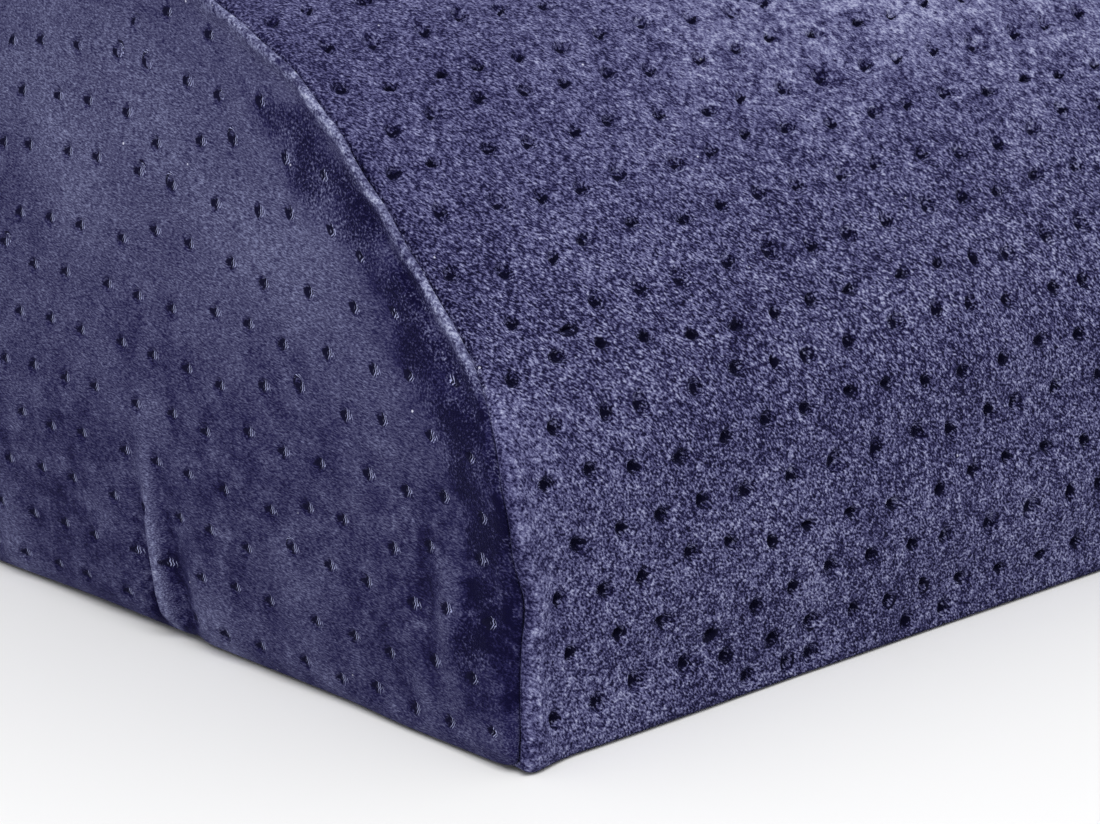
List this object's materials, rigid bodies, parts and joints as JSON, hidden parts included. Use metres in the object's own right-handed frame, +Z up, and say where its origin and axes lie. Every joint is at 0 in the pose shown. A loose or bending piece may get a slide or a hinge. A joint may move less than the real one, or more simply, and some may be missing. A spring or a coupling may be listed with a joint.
{
  "type": "leg elevation pillow",
  "caption": "Half-moon bolster pillow in dimpled velour with a flat base, an arched top and sewn end panels, laid under the knees or calves to raise the legs.",
  "frame": {"origin": "middle of the flat base, on the surface that the pillow lies on", "axes": "+X along the pillow's length, +Y from the front wall to the back wall, +Z up from the base to the crown of the arch"},
  "size_m": [0.52, 0.218, 0.127],
  "materials": {
    "wrap_velour": "dimpled knitted velour, deep indigo",
    "end_velour": "dimpled knitted velour, deep indigo, nap laid flat"
  },
  "bodies": {
    "root": {"wrap_body": "wrap_velour", "left_end_panel": "end_velour", "right_end_panel": "end_velour"}
  },
  "joints": []
}
